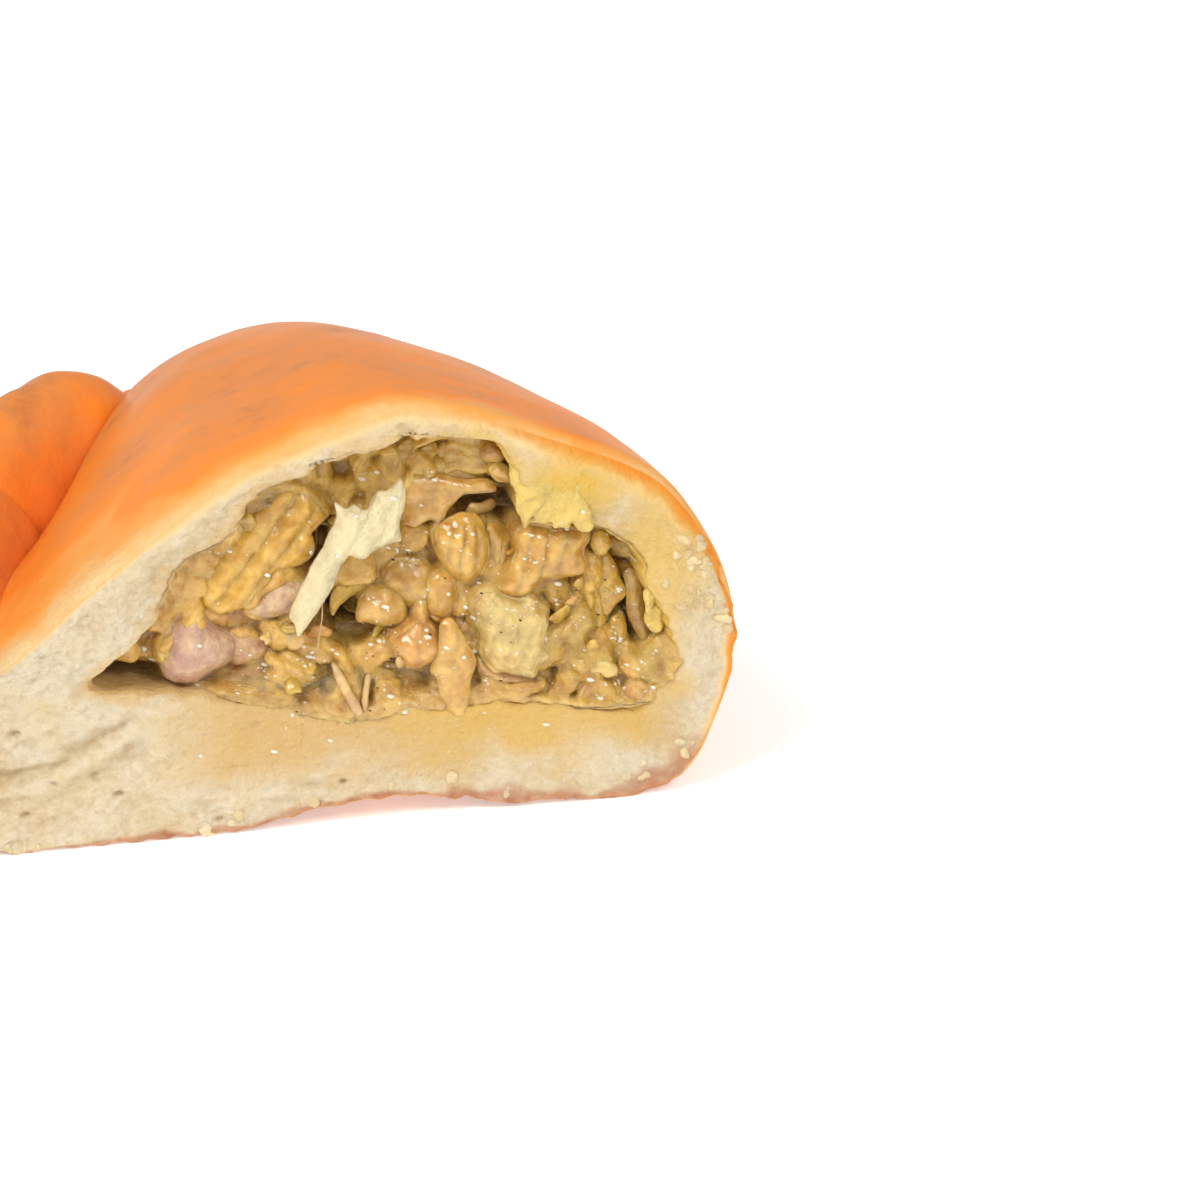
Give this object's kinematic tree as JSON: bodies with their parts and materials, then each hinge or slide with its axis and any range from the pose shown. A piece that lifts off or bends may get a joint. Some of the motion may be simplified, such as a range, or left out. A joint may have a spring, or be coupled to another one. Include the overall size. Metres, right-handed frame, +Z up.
{
  "type": "chicken empanada half",
  "caption": "Half of a baked chicken empanada, cut straight across to show its chicken and onion filling, with a rope of pleats along one side.",
  "frame": {"origin": "middle of the bounding box in X and Y, on the flat base (z = 0) that it rests on", "axes": "+X from the pleated rope to the round fold, -Y out of the cut, +Y to the closed tip, +Z up"},
  "size_m": [0.0883, 0.0801, 0.0455],
  "materials": {
    "crust": "baked enriched dough with an egg wash: glossy golden orange crust, matt cream crumb on the cut",
    "dough": "torn inner dough, matt cream crumb",
    "filling": "onion, shredded chicken and sauce, wet and oily",
    "onion": "soft cooked onion, translucent and wet",
    "leek": "soft cooked green onion, translucent and wet",
    "chicken": "cooked chicken, fibrous and moist",
    "meat": "cooked chicken coloured by the sauce, smooth and moist"
  },
  "bodies": {
    "root": {"dough": "crust", "filling": "filling", "torn_dough_strip": "dough", "onion_centre": "onion", "onion_wide": "onion", "onion_tall": "onion", "onion_strip": "onion", "onion_top": "onion", "onion_green": "leek", "onion_petal": "leek", "leek_slice": "leek", "chicken_finger": "meat", "chicken_beige": "meat", "chicken_orange": "chicken", "chicken_right": "chicken", "chicken_middle": "chicken", "chicken_left": "chicken", "chicken_back": "chicken"}
  },
  "joints": []
}
